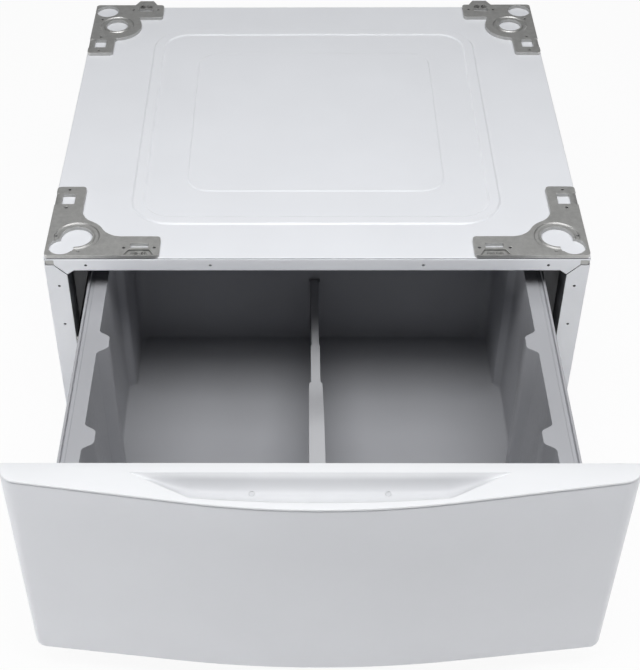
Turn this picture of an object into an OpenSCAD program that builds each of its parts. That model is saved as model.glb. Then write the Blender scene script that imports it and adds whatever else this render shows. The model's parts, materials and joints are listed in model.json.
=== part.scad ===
// Laundry pedestal with one wide storage drawer, shown with the drawer pulled out to its stop.
// Origin: on the floor, at the centre of the four levelling feet. +X right, +Y back, +Z up.

/* [Cabinet] */
// Overall width
cab_w = 686; // [620:1:740]
// Depth of the cabinet body
cab_d = 630; // [590:1:700]
// Height of the cabinet body
body_h = 335; // [320:1:375]
// Gap between the floor and the cabinet's lower edge
floor_gap = 25; // [24:0.5:30]
// Thickness of the painted sheet steel
sheet_t = 1.2; // [0.8:0.1:1.6]
// Height of the top panel's front flange
top_flange_h = 19; // [16:0.5:22]
// Width of the side panels' front flanges
side_flange_w = 27.2; // [26:0.1:32]
// Depth of the return behind each side flange
return_d = 40; // [30:1:50]

/* [Top embossing] */
// Distance from the side edges to the outer bead
bead_side_inset = 99.8; // [95:0.1:115]
// Distance from the front edge to the outer bead
bead_front_inset = 68.9; // [60:0.1:80]
// Distance from the rear edge to the outer bead
bead_rear_inset = 69.3; // [60:0.1:80]
// Width of the outer bead
bead_w = 17.5; // [8:0.5:20]
// Height of the outer bead
bead_h = 1.6; // [0.8:0.1:2]
// Corner radius of the outer bead
bead_corner_r = 55; // [40:1:70]
// Distance from the side edges to the raised centre field
field_side_inset = 170.2; // [160:0.1:190]
// Distance from the front edge to the raised centre field
field_front_inset = 140.3; // [130:0.1:150]
// Distance from the rear edge to the raised centre field
field_rear_inset = 139.5; // [130:0.1:150]
// Height of the raised centre field
field_h = 1; // [0.4:0.1:1.5]

/* [Corner plates] */
// Length of the corner plates' arms
plate_len = 145; // [138:1:155]
// Length of the rear plates' arms along the rear edge
rear_arm_len = 107; // [102:1:115]
// Width of the arms
arm_w = 39; // [36:0.5:42]
// Height of a plate over the top panel
plate_h = 5; // [4:0.1:7]
// Sheet thickness of the plates
plate_t = 2; // [1.5:0.1:2.5]
// Radius of the large foot opening in the front plates
keyhole_r = 20.3; // [18:0.1:21]
// Radius of the small foot opening in the front plates
keyhole_small_r = 16.2; // [14:0.1:17]
// Radius of the two foot openings in the rear plates
rear_hole_r = 17; // [15:0.1:18]

/* [Drawer] */
// Distance that the drawer pulls out
travel = 343; // [300:1:350]
// Inside depth of the tub, front to back
tub_len = 525.5; // [480:0.5:530]
// Space between the tub's side and the inner face of a slide
tub_side_gap = 35.1; // [33:0.1:41]
// Wall thickness of the tub
tub_t = 2.5; // [2:0.1:3]
// Height of the tub's floor above the ground
tub_floor_z = 60; // [58:0.5:70]
// Distance from the top panel down to the tub's rim
rim_drop = 50; // [48:0.5:60]
// Width of the rim along the tub's sides
rim_w = 25; // [24:0.5:27]
// How far the side pilasters stand into the tub
pilaster_d = 13.5; // [8:0.5:16]
// Width of a pilaster at its foot
pilaster_w = 41; // [34:0.5:46]

/* [Drawer front] */
// Gap under the drawer front
front_bottom_z = 38; // [30:0.5:45]
// Depth of the front at the middle of its top edge
front_depth_top = 66; // [60:0.5:75]
// Depth of the front at the middle of its bottom edge
front_depth_bottom = 39.5; // [34:0.5:48]
// Plan radius of the bow along the top edge
bow_r_top = 950; // [850:10:1100]
// Plan radius of the bow along the bottom edge
bow_r_bottom = 1400; // [1200:10:1600]
// Corner radius along the top edge
front_corner_r_top = 22; // [16:0.5:26]
// Corner radius along the bottom edge
front_corner_r_bottom = 8; // [5:0.5:8]
// Thickness of the front skin
skin_t = 2; // [1.2:0.1:2.4]
// Half length of the handle scoop
scoop_half = 204; // [180:1:220]
// Width of the flat lip behind the scoop
scoop_rear = 14; // [10:0.5:18]
// Distance from the front's back plane to the scoop's front edge
scoop_front = 57; // [50:0.5:58]
// Half length of the scoop's bowed front edge
scoop_turn_x = 137; // [125:1:150]
// Depth of the scoop
scoop_deep = 16.5; // [12:0.5:20]

/* [Slides] */
// Length of both members of a slide
slide_len = 457; // [440:1:465]
// Height of a slide
slide_h = 42; // [38:0.5:46]
// Thickness of a slide
slide_w = 12.7; // [12.2:0.1:13.5]
// Distance from the tub's rim down to the slides' centre line
slide_drop = 105; // [100:1:110]
// Radius of the slide balls
ball_r = 2.2; // [2:0.1:2.4]
// Balls in each row
ball_count = 8; // [4:1:8]

/* [Divider] */
// Height of the divider over the tub floor at the rear
divider_rear_h = 110; // [90:1:130]
// Height of the divider over the tub floor at the front
divider_front_h = 145; // [120:1:180]
// Thickness of the divider at the rear
divider_rear_w = 10; // [8:0.1:11]
// Thickness of the divider between its two steps
divider_mid_w = 12.4; // [11.5:0.1:14]
// Thickness of the divider in front of its steps
divider_shoulder_w = 18.2; // [15:0.1:19]
// Thickness of the divider at the front
divider_front_w = 21.8; // [19:0.1:22]

/* [Feet] */
// Distance of the feet from the side edges
foot_inset_x = 43; // [40:0.5:46]
// Distance of the feet from the front and rear edges
foot_inset_y = 31; // [29:0.5:36]
// Radius of a foot pad
foot_r = 22; // [18:0.5:24]
// Radius of the threaded stud
stud_r = 5; // [4:0.1:6]

/* [Hidden] */
$fn = 48;

// Shared small sizes
eps = 0.05;
over = 4;
fit_gap = 0.2;
seam = 0.7;
hw = cab_w / 2;
hd = cab_d / 2;
cab_top = floor_gap + body_h;
rim_z = cab_top - rim_drop;
slide_z = rim_z - slide_drop;
under_top = cab_top - sheet_t;
paint = [0.93, 0.935, 0.945];
zinc = [0.62, 0.62, 0.59];
steel = [0.7, 0.71, 0.72];
plastic = [0.6, 0.61, 0.63];
white_plastic = [0.95, 0.95, 0.96];

// Top panel: edge roll, mitred front flange and flange holes
edge_r = 3;
rear_flange_h = 15;
mitre_out = 15;
mitre_seam = 1;
flange_dip = 6;
flange_dip_run = 8;
notch_h = 7.5;
flange_hole_r = 1.8;
flange_hole_drop = 11;
flange_hole_inner_x = 134;
flange_hole_outer_inset = 52;
bead_slope = 2.5;
bead_sink = 0.4;
field_slope = 2;
field_corner_r = 32;

// Side panel: flanges and trim holes, two near the top and one near the bottom
side_top_flange_w = 15;
side_rear_flange_w = 20;
side_hole_inset = 15;
side_hole_first = 45;
side_hole_second = 110;
side_hole_bottom = 45;
return_bottom_z = floor_gap + 7;
inner_plane_x = hw - side_flange_w;
mitre_z = cab_top - top_flange_h - flange_dip;

// Back panel: three upright beads and eight screws
back_bottom_gap = 2;
back_bead_w = 40;
back_bead_h = 4;
back_bead_margin = 60;
back_bead_r = 12;
back_screw_r = 1.9;
back_screw_head_r = 3.8;
back_screw_head_h = 1.8;
back_screw_inset = 10;
back_screw_margin = 40;
back_screw_rows = 4;

// Base: rails, foot brackets, weld nuts and lock nuts
rail_t = 1.5;
rail_h = 27;
rail_w = 30;
side_rail_w = 26;
bracket_size = 60;
bracket_t = 3;
bracket_lip_h = 20;
bracket_lip_t = 2;
bracket_hole_gap = 0.5;
nut_h = 8;
nut_flat_r = 8.5;
nut_fit = 0.08;
bracket_x0 = hw - sheet_t - fit_gap - bracket_size;
bracket_y0 = hd - sheet_t - fit_gap - bracket_size;

// Feet: pad, neck and stud
pad_h = 6;
pad_top_h = 4;
pad_top_r = 12;
neck_r = 8;
neck_gap = 0.4;
neck_top_z = floor_gap - nut_h - neck_gap;
stud_sink = 4;
stud_len = 71;
stud_fit = 0.05;
pad_hole_r = stud_r + stud_fit;

// Front corner gussets behind the mitred flanges
gusset_t = 1.5;
gusset_w = 15;
gusset_h = 22;
gusset_top_gap = 3.2;
gusset_edge_gap = 1.5;
gusset_cut = 4;

// Corner plates: outline, openings, windows, pocket and screws
plate_edge_gap = 0.7;
plate_z = cab_top + plate_h;
plate_corner_r = 5;
front_lobe_x = 37.8;
front_lobe_y = 38.2;
front_lobe_r = 35.3;
front_fillet_r = 29;
rear_lobe_x = 38.5;
rear_lobe_y = 64;
rear_lobe_r = 37.7;
rear_fillet_r = 4.5;
web_trim = 1.2;
keyhole_small_x = 20.5;
keyhole_small_y = 19;
rear_outer_x = 19.5;
rear_outer_y = 20.5;
ring_step = 1.4;
ring_in = 2.2;
ring_out = 9;
collar_t = 1.5;
window_w = 17.5;
window_l = 22;
window_x = 18;
window_y = 118;
hook_w = 6;
hook_l = 25;
hook_drop = 2.2;
slot_w = 23;
slot_l = 8;
front_slot_x = 119;
front_slot_y = 20.5;
rear_slot_x = 79;
rear_slot_y = 17;
pin_hole_r = 2;
side_pin_x = 17;
side_pin_y = 99;
side_pin_pitch = 39;
arm_pin_offset = 19.3;
arm_pin_y = 16;
front_pin_x = 10.7;
front_pin_y = 42;
front_pin_2_x = 43;
front_pin_2_y = 9;
rear_pin_x = 13.5;
rear_pin_y = 45.5;
screw_pitch = 11;
screw_y = 6.8;
screw_r = 2;
screw_head_r = 3.9;
screw_head_h = 1.8;
screw_seat_r = 4.8;
screw_seat_drop = 1.2;
screw_hole_gap = 0.3;
pocket_drop = 3;
pocket_wide = 38;
pocket_narrow = 25;
pocket_l = 12;
pocket_y = 1.8;
tab_out = 12;
tab_wide = 36;
tab_narrow = 21;

// Slide section: two channels with a ball cage between their lips
slide_t = 1.2;
ball_u = slide_w / 2;
ball_play = 0.1;
lip_gap = 2.2;
inner_lip_gap = 3.6;
cage_t = 0.8;
cage_gap = 0.8;
cage_leg_end = 10;
cage_hole_gap = 0.15;
ball_pitch = 12;
ball_w = slide_h / 2 - slide_t - ball_play - ball_r;
inner_half_h = ball_w - ball_r - ball_play;
slide_set_back = 2;
slide_front_y = -hd + slide_set_back;
slide_rear_y = slide_front_y + slide_len;
drawer_member_front_y = slide_front_y - travel;
cage_len = 108;
cage_front_gap = 2.5;
cage_front_y = slide_front_y + cage_front_gap;
rear_bracket_w = 40;
rear_bracket_from_end = 44;
rear_bracket_h = 60;
rear_bracket_t = 1.5;

// Drawer: places along the row that follow the open position
front_gap = 1;
tub_front_gap = 1;
front_back_y = -(hd + front_gap + travel);
tub_front_y = front_back_y + tub_t + tub_front_gap;
tub_back_y = tub_front_y + tub_len;
drail_x = inner_plane_x - slide_w;
tub_half_w = drail_x - tub_side_gap;
rim_half_w = tub_half_w + rim_w;
rim_t = 4;
rim_under_z = rim_z - rim_t;
lip_w = 2.8;
lip_h = 2.5;
groove_w = 5;
groove_h = 2;
groove_side = 0.4;
rim_back_w = 20;
rim_front_w = 3.2;
tub_corner_r = 14;
tub_floor_r = 4;
tub_draft = 1;
rim_inner_shift = 0.5;
pilaster_crest_share = 0.4;
pilaster_1_from_front = 241;
pilaster_pitch = 159.5;
rear_step_from_back = 113;
rear_step_d = 11;
rear_step_ramp = 12;
fillet_steps = 4;
corner_steps = 5;
ramp_steps = 4;

// Drawer side rails: joggled section that carries the rim and the slide member
drail_t = 1.5;
drail_rim_inset = 3.5;
drail_below = 36.5;
drail_above = 57;
drail_top_x = rim_half_w - drail_rim_inset;
drail_bottom_z = slide_z - drail_below;
drail_bend_z = slide_z + drail_above;
drail_bend_h = 11;
drail_bottom_flange = 14.5;
drail_top_flange = 12;
drail_end_w = 22;
drail_end_h = 120;
drail_back_gap = 2;

// Screws between the tub and the front's inner panel
fscrew_r = 1.75;
fscrew_head_r = 4.2;
fscrew_head_h = 2.2;
fscrew_tail = 5;
fscrew_x = 200;
fscrew_top_drop = 50;
fscrew_pitch_z = 120;
fscrew_gap = 0.15;
fscrew_tub_gap = 0.6;

// Divider: shoulders, swept top edge and the guide ribs at both ends
divider_gap = 1.4;
divider_floor_gap = 0.3;
mid_from_back = 138;
shoulder_from_back = 211;
shoulder_run = 3;
sweep_len = 120;
sweep_steps = 10;
guide_t = 2;
guide_d = 7;
guide_gap = 0.6;
guide_back_gap = 1.1;
guide_over = 2;

// Drawer front: cap, skin, inner panel and scoop
cap_h = 2.5;
cap_seam = 0.9;
cap_side_r = 1.2;
cap_edge_r = 1.5;
cap_under = 3.5;
flank_deg_top = 8.8;
flank_deg_bottom = 7;
skin_top_z = cab_top - cap_h - cap_seam;
skin_flange_w = 7.5;
skin_edge_r = 1;
skin_roll_r = 3;
front_round_r = 8;
arc_steps = 9;
flank_steps = 3;
round_steps = 7;
inner_t = 1.6;
inner_gap = 0.5;
inner_bead_w = 560;
inner_bead_l = 60;
inner_bead_h = 6;
scoop_bow_r = 1344;
scoop_bottom_share = 0.4;
scoop_rear_curve = 1.6;
scoop_front_curve = 1.8;
scoop_rear_share = 0.35;
scoop_steps = 12;
plug_x = 72.5;
plug_r = 3.2;
plug_gap = 0.1;
plug_h = 1.6;
plug_stand = 0.4;

function sq(v) = v * v;
function mix(a, b, t) = a + (b - a) * t;
function clamp(v, low, high) = max(low, min(high, v));
function smooth(t) = (1 - cos(180 * clamp(t, 0, 1))) / 2;

// Faces of a closed skin between m stacked rings of n points; two end points close it
function ring_faces(n, m) = concat(
    [for (i = [0:n - 1]) [n * m, (i + 1) % n, i]],
    [for (i = [0:n - 1]) [n * m + 1, (m - 1) * n + i, (m - 1) * n + (i + 1) % n]],
    [for (k = [0:m - 2], i = [0:n - 1]) [k * n + i, k * n + (i + 1) % n, (k + 1) * n + (i + 1) % n]],
    [for (k = [0:m - 2], i = [0:n - 1]) [k * n + i, (k + 1) * n + (i + 1) % n, (k + 1) * n + i]]);

// Faces of a sheet between an outer and an inner grid, each m rows of n points
function sheet_faces(m, n) =
    let (b = m * n)
    concat(
        [for (k = [0:m - 2], i = [0:n - 2]) [k * n + i, k * n + i + 1, (k + 1) * n + i + 1]],
        [for (k = [0:m - 2], i = [0:n - 2]) [k * n + i, (k + 1) * n + i + 1, (k + 1) * n + i]],
        [for (k = [0:m - 2], i = [0:n - 2]) [b + k * n + i, b + (k + 1) * n + i + 1, b + k * n + i + 1]],
        [for (k = [0:m - 2], i = [0:n - 2]) [b + k * n + i, b + (k + 1) * n + i, b + (k + 1) * n + i + 1]],
        [for (i = [0:n - 2]) [i, b + i, b + i + 1]],
        [for (i = [0:n - 2]) [i, b + i + 1, i + 1]],
        let (e = (m - 1) * n) [for (i = [0:n - 2]) [e + i, b + e + i + 1, b + e + i]],
        let (e = (m - 1) * n) [for (i = [0:n - 2]) [e + i, e + i + 1, b + e + i + 1]],
        [for (k = [0:m - 2]) [k * n, (k + 1) * n, b + (k + 1) * n]],
        [for (k = [0:m - 2]) [k * n, b + (k + 1) * n, b + k * n]],
        let (e = n - 1) [for (k = [0:m - 2]) [k * n + e, b + (k + 1) * n + e, (k + 1) * n + e]],
        let (e = n - 1) [for (k = [0:m - 2]) [k * n + e, b + k * n + e, b + (k + 1) * n + e]]);

// Rectangle from a low corner with rounded corners
module round_rect(low, size, r) {
    translate([low.x + r, low.y]) square([size.x - 2 * r, size.y]);
    translate([low.x, low.y + r]) square([size.x, size.y - 2 * r]);
    for (x = [low.x + r, low.x + size.x - r], y = [low.y + r, low.y + size.y - r])
        translate([x, y]) circle(r = r);
}

// Box between two corners
module box(low, high) {
    translate(low) cube(high - low);
}

// Places a shape drawn for the front left corner, with x and y measured inwards from the edges
module at_corner(side_x, side_y) {
    translate([side_x * hw, side_y * hd, 0])
        mirror([side_x > 0 ? 1 : 0, 0, 0])
            mirror([0, side_y > 0 ? 1 : 0, 0])
                children();
}

// Mirrors a right-hand shape to the left
module handed(side) {
    mirror([side < 0 ? 1 : 0, 0, 0]) children();
}

// Raised rectangular ring whose section is drawn from its outer edge inwards
module raised_ring(low, high, r, section) {
    len_x = high.x - low.x - 2 * r;
    len_y = high.y - low.y - 2 * r;
    corners = [[high.x - r, high.y - r, 0], [low.x + r, high.y - r, 90],
               [low.x + r, low.y + r, 180], [high.x - r, low.y + r, 270]];
    arc = [for (p = section) [r - p.x, p.y]];
    for (c = corners)
        translate([c.x, c.y, cab_top]) rotate([0, 0, c.z]) rotate_extrude(angle = 90) polygon(arc);
    for (c = corners)
        translate([c.x, c.y, cab_top]) rotate([0, 0, c.z])
            rotate([90, 0, 0]) linear_extrude(c.z % 180 == 0 ? len_y : len_x) polygon(arc);
}

module flange_hole(x, z) {
    translate([x, -hd - over, z]) rotate([-90, 0, 0]) cylinder(r = flange_hole_r, h = 2 * over);
}

// Half outline of the top panel's front flange, seen from the front
function top_flange_half() = [
    [0, cab_top - top_flange_h],
    [inner_plane_x - flange_dip_run - sheet_t, cab_top - top_flange_h],
    [inner_plane_x - sheet_t, mitre_z],
    [inner_plane_x, mitre_z],
    [inner_plane_x + mitre_out, mitre_z + mitre_out],
    [inner_plane_x + mitre_out, cab_top - sheet_t - eps],
    [0, cab_top - sheet_t - eps]];

module top_panel() {
    color(paint) difference() {
        union() {
            box([-hw, -hd, under_top], [hw, hd, cab_top]);
            box([-hw, -hd, cab_top - edge_r], [hw, -hd + edge_r, cab_top]);
            for (side = [-1, 1])
                handed(side) translate([0, -hd + sheet_t, 0]) rotate([90, 0, 0])
                    linear_extrude(sheet_t) polygon(concat(top_flange_half(), [[0, cab_top - edge_r]]));
            box([-hw + over, hd - sheet_t, cab_top - rear_flange_h], [hw - over, hd, cab_top]);
            raised_ring([-hw + bead_side_inset, -hd + bead_front_inset],
                        [hw - bead_side_inset, hd - bead_rear_inset], bead_corner_r,
                        [[0, -bead_sink], [0, 0], [bead_slope, bead_h],
                         [bead_w - bead_slope, bead_h], [bead_w, 0], [bead_w, -bead_sink]]);
            raised_ring([-hw + field_side_inset, -hd + field_front_inset],
                        [hw - field_side_inset, hd - field_rear_inset], field_corner_r,
                        [[0, -bead_sink], [0, 0], [field_slope, field_h],
                         [2 * field_slope, field_h], [2 * field_slope, -bead_sink]]);
            translate([0, 0, under_top]) linear_extrude(sheet_t + field_h)
                round_rect([-hw + field_side_inset + field_slope, -hd + field_front_inset + field_slope],
                           [cab_w - 2 * field_side_inset - 2 * field_slope,
                            cab_d - field_front_inset - field_rear_inset - 2 * field_slope],
                           field_corner_r - field_slope);
        }
        translate([-hw - over, -hd + edge_r, cab_top - edge_r]) rotate([0, 90, 0])
            difference() {
                translate([-edge_r - over, -edge_r - over, 0])
                    cube([edge_r + over, edge_r + over, cab_w + 2 * over]);
                cylinder(r = edge_r, h = cab_w + 2 * over);
            }
        for (side = [-1, 1], x = [flange_hole_inner_x, hw - flange_hole_outer_inset])
            flange_hole(side * x, cab_top - flange_hole_drop);
    }
}

module side_panel(side) {
    color(paint) handed(side) difference() {
        union() {
            box([hw - sheet_t, -hd, floor_gap], [hw, hd, under_top - notch_h]);
            box([hw - sheet_t, -hd + sheet_t + gusset_t + seam, floor_gap], [hw, hd, under_top]);
            translate([0, -hd + sheet_t, 0]) rotate([90, 0, 0]) linear_extrude(sheet_t)
                polygon([[inner_plane_x, floor_gap], [hw, floor_gap],
                         [hw, mitre_z + mitre_out - mitre_seam],
                         [inner_plane_x + mitre_out + mitre_seam, mitre_z + mitre_out - mitre_seam],
                         [inner_plane_x, mitre_z - 2 * mitre_seam]]);
            box([inner_plane_x, -hd, return_bottom_z],
                [inner_plane_x + sheet_t, -hd + return_d, mitre_z - 2 * mitre_seam]);
            box([hw - side_rear_flange_w, hd - sheet_t, floor_gap], [hw, hd, cab_top - rear_flange_h - seam]);
            box([hw - side_top_flange_w, -hd + edge_r + gusset_t + seam, under_top - sheet_t],
                [hw, hd - 2 * sheet_t - fit_gap, under_top]);
        }
        for (z = [cab_top - side_hole_first, cab_top - side_hole_second, floor_gap + side_hole_bottom])
            flange_hole(hw - side_hole_inset, z);
        for (k = [0:back_screw_rows - 1])
            back_screw_cut(hw - back_screw_inset, back_screw_z(k));
    }
}

function back_screw_z(k) = mix(floor_gap + back_screw_margin, cab_top - back_screw_margin,
                               k / (back_screw_rows - 1));

module back_screw_cut(x, z) {
    translate([x, hd - over, z]) rotate([-90, 0, 0]) cylinder(r = back_screw_r + eps, h = 2 * over);
}

module back_panel() {
    back_y = hd - sheet_t;
    color(paint) difference() {
        union() {
            box([-hw + sheet_t + fit_gap, back_y - sheet_t, floor_gap + back_bottom_gap],
                [hw - sheet_t - fit_gap, back_y, under_top - sheet_t - fit_gap]);
            for (k = [-1:1])
                translate([k * cab_w / 4, back_y - sheet_t + eps, 0]) rotate([90, 0, 0])
                    linear_extrude(back_bead_h)
                        round_rect([-back_bead_w / 2, floor_gap + back_bead_margin],
                                   [back_bead_w, cab_top - floor_gap - 2 * back_bead_margin], back_bead_r);
        }
        for (side = [-1, 1], k = [0:back_screw_rows - 1])
            back_screw_cut(side * (hw - back_screw_inset), back_screw_z(k));
    }
}

module back_panel_screws() {
    color(steel)
        for (side = [-1, 1], k = [0:back_screw_rows - 1])
            translate([side * (hw - back_screw_inset), hd, back_screw_z(k)]) rotate([-90, 0, 0]) {
                cylinder(r = back_screw_head_r, h = back_screw_head_h);
                translate([0, 0, -3 * sheet_t]) cylinder(r = back_screw_r, h = 3 * sheet_t + eps);
            }
}

// Channel along X between the foot brackets, its web at the outer edge
module cross_rail(side) {
    half = bracket_x0 - fit_gap;
    outer = hd - (side > 0 ? 2 * sheet_t + fit_gap : 0);
    color(paint) mirror([0, side > 0 ? 1 : 0, 0]) {
        box([-half, -outer, floor_gap], [half, -outer + rail_t, floor_gap + rail_h]);
        box([-half, -outer, floor_gap], [half, -outer + rail_w, floor_gap + rail_t]);
        box([-half, -outer, floor_gap + rail_h - rail_t], [half, -outer + rail_w, floor_gap + rail_h]);
    }
}

// Channel along Y inside a side panel, its web against the panel
module side_rail(side) {
    half = bracket_y0 - fit_gap;
    outer = hw - sheet_t;
    color(paint) handed(side) {
        box([outer - rail_t, -half, floor_gap], [outer, half, floor_gap + rail_h]);
        box([outer - side_rail_w, -half, floor_gap], [outer, half, floor_gap + rail_t]);
        box([outer - side_rail_w, -half, floor_gap + rail_h - rail_t], [outer, half, floor_gap + rail_h]);
    }
}

module foot_brackets() {
    x0 = sheet_t + fit_gap;
    y0 = sheet_t + fit_gap;
    rear_y0 = 2 * sheet_t + 2 * fit_gap;
    color(zinc)
        for (side_x = [-1, 1], side_y = [-1, 1])
            at_corner(side_x, side_y) difference() {
                union() {
                    box([x0, side_y > 0 ? rear_y0 : y0, floor_gap],
                        [x0 + bracket_size, y0 + bracket_size, floor_gap + bracket_t]);
                    box([x0 + bracket_size - bracket_lip_t, side_y > 0 ? rear_y0 : y0, floor_gap],
                        [x0 + bracket_size, y0 + bracket_size, floor_gap + bracket_lip_h]);
                    box([x0, y0 + bracket_size - bracket_lip_t, floor_gap],
                        [x0 + bracket_size, y0 + bracket_size, floor_gap + bracket_lip_h]);
                }
                translate([foot_inset_x, foot_inset_y, floor_gap - over])
                    cylinder(r = stud_r + bracket_hole_gap, h = bracket_t + 2 * over);
            }
}

module hex_nut(z) {
    translate([foot_inset_x, foot_inset_y, z]) difference() {
        cylinder(r = nut_flat_r / cos(30), h = nut_h, $fn = 6);
        translate([0, 0, -over]) cylinder(r = stud_r + nut_fit, h = nut_h + 2 * over);
    }
}

module foot_weld_nuts() {
    color(zinc)
        for (side_x = [-1, 1], side_y = [-1, 1])
            at_corner(side_x, side_y) hex_nut(floor_gap + bracket_t);
}

module foot_lock_nuts() {
    color(zinc)
        for (side_x = [-1, 1], side_y = [-1, 1])
            at_corner(side_x, side_y) hex_nut(floor_gap - nut_h);
}

module foot_pad(side_x, side_y) {
    color([0.12, 0.12, 0.13]) at_corner(side_x, side_y)
        translate([foot_inset_x, foot_inset_y, 0]) difference() {
            union() {
                cylinder(r = foot_r, h = pad_h);
                translate([0, 0, pad_h]) cylinder(r1 = foot_r, r2 = pad_top_r, h = pad_top_h);
                translate([0, 0, pad_h + pad_top_h - eps])
                    cylinder(r = neck_r, h = neck_top_z - pad_h - pad_top_h + eps);
            }
            translate([0, 0, stud_sink]) cylinder(r = pad_hole_r, h = neck_top_z);
        }
}

module foot_stud(side_x, side_y) {
    color(zinc) at_corner(side_x, side_y)
        translate([foot_inset_x, foot_inset_y, stud_sink]) {
            cylinder(r = stud_r, h = stud_len - stud_r / 4);
            translate([0, 0, stud_len - stud_r / 4])
                cylinder(r1 = stud_r, r2 = stud_r * 3 / 4, h = stud_r / 4);
        }
}

module front_corner_gussets() {
    top_z = cab_top - gusset_top_gap;
    x1 = hw - gusset_edge_gap;
    x0 = x1 - gusset_w;
    color(zinc)
        for (side = [-1, 1])
            handed(side) translate([0, -hd + sheet_t + gusset_t + eps, 0]) rotate([90, 0, 0])
                linear_extrude(gusset_t)
                    polygon([[x0, top_z - gusset_h + gusset_cut], [x0 + gusset_cut, top_z - gusset_h],
                             [x1, top_z - gusset_h], [x1, top_z], [x0, top_z]]);
}

// Web that blends the round lobe of a plate into one arm, its sliver of a tip trimmed off
module lobe_web(lobe, r, fillet) {
    fy = arm_w + fillet;
    fx = lobe.x + sqrt(sq(r + fillet) - sq(fy - lobe.y));
    difference() {
        polygon([lobe, [fx, fy - web_trim], [fx, arm_w - plate_t], [lobe.x, arm_w - plate_t]]);
        translate([fx, fy]) circle(r = fillet);
    }
}

// Arms and lobe of a corner plate, drawn in by an inset; reach is the arm along the front or rear edge
module plate_arms(lobe, lobe_r, reach, inset) {
    e = plate_edge_gap + inset;
    cut = plate_edge_gap + 2 * inset;
    short = arm_w - inset - e;
    round_rect([e, e], [reach - cut, short], plate_corner_r - inset);
    round_rect([e, e], [short, plate_len - cut], plate_corner_r - inset);
    translate(lobe) circle(r = lobe_r - inset);
}

// Outline of a corner plate
module plate_outline(lobe, lobe_r, fillet_r, reach) {
    plate_arms(lobe, lobe_r, reach, 0);
    lobe_web(lobe, lobe_r, fillet_r);
    mirror([1, -1, 0]) lobe_web([lobe.y, lobe.x], lobe_r, fillet_r);
}

module through_plate(x, y, r) {
    translate([x, y, cab_top - over]) cylinder(r = r, h = plate_h + 2 * over);
}

module plate_window(x, y, w, l) {
    box([x - w / 2, y - l / 2, cab_top - over], [x + w / 2, y + l / 2, plate_z + over]);
}

// Down-turned walls round a window
module window_walls(x, y, w, l) {
    box([x - w / 2 - collar_t, y - l / 2 - collar_t, cab_top],
        [x + w / 2 + collar_t, y + l / 2 + collar_t, plate_z - plate_t + eps]);
}

module trapezoid(x, y, wide, narrow, l, z0, z1) {
    translate([x, y, z0]) linear_extrude(z1 - z0)
        polygon([[-wide / 2, 0], [wide / 2, 0], [narrow / 2, l], [-narrow / 2, l]]);
}

// Pressed tray with down-turned edges
module plate_tray(lobe, lobe_r, fillet_r, reach) {
    difference() {
        translate([0, 0, cab_top]) linear_extrude(plate_h)
            plate_outline(lobe, lobe_r, fillet_r, reach);
        translate([0, 0, cab_top - eps]) linear_extrude(plate_h - plate_t + eps)
            plate_arms(lobe, lobe_r, reach, plate_t);
    }
    window_walls(window_x, window_y, window_w, window_l);
}

module plate_collar(x, y, r) {
    translate([x, y, cab_top]) cylinder(r = r + collar_t, h = plate_h - plate_t + eps);
}

// Floor of the groove round a foot opening
module ring_floor(x, y, r) {
    translate([x, y, plate_z - plate_t - ring_step]) cylinder(r = r + ring_out + plate_t / 2, h = plate_t);
}

// Groove with sloping walls round a foot opening
module ring_cut(x, y, r) {
    translate([x, y, plate_z]) rotate_extrude()
        polygon([[r + ring_in, over], [r + ring_in, 0], [r + ring_in + ring_step, -ring_step],
                 [r + ring_out - ring_step, -ring_step], [r + ring_out, 0], [r + ring_out, over]]);
}

module common_plate_cuts() {
    plate_window(window_x, window_y, window_w, window_l);
    for (k = [0, 1])
        through_plate(side_pin_x, side_pin_y + k * side_pin_pitch, pin_hole_r);
    translate([0, window_y + hook_l / 2, plate_z]) rotate([90, 0, 0]) linear_extrude(hook_l)
        polygon([[hook_w, 0], [plate_edge_gap, -hook_drop], [plate_edge_gap - over, -hook_drop],
                 [plate_edge_gap - over, over], [hook_w, over]]);
}

// Countersunk seats and holes of a plate's two screws
module screw_cuts(x, z) {
    for (s = [-1, 1]) {
        through_plate(x + s * screw_pitch / 2, screw_y, screw_r + screw_hole_gap);
        translate([x + s * screw_pitch / 2, screw_y, z - screw_seat_drop])
            cylinder(r = screw_seat_r, h = screw_seat_drop + over);
    }
}

module front_plate(side) {
    color(zinc) at_corner(side, -1) difference() {
        union() {
            plate_tray([front_lobe_x, front_lobe_y], front_lobe_r, front_fillet_r, plate_len);
            plate_collar(front_lobe_x, front_lobe_y, keyhole_r);
            plate_collar(keyhole_small_x, keyhole_small_y, keyhole_small_r);
            ring_floor(front_lobe_x, front_lobe_y, keyhole_r);
            window_walls(front_slot_x, front_slot_y, slot_w, slot_l);
            trapezoid(front_slot_x, pocket_y - plate_t / 2, pocket_wide + plate_t,
                      pocket_narrow + plate_t, pocket_l + plate_t / 2, cab_top, plate_z - pocket_drop);
        }
        ring_cut(front_lobe_x, front_lobe_y, keyhole_r);
        through_plate(front_lobe_x, front_lobe_y, keyhole_r);
        through_plate(keyhole_small_x, keyhole_small_y, keyhole_small_r);
        trapezoid(front_slot_x, pocket_y, pocket_wide, pocket_narrow, pocket_l,
                  plate_z - pocket_drop, plate_z + over);
        plate_window(front_slot_x, front_slot_y, slot_w, slot_l);
        common_plate_cuts();
        through_plate(front_pin_x, front_pin_y, pin_hole_r);
        through_plate(front_pin_2_x, front_pin_2_y, pin_hole_r);
        screw_cuts(front_slot_x, plate_z - pocket_drop);
        for (s = [-1, 1])
            through_plate(front_slot_x + s * arm_pin_offset, arm_pin_y, pin_hole_r);
    }
}

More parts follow.
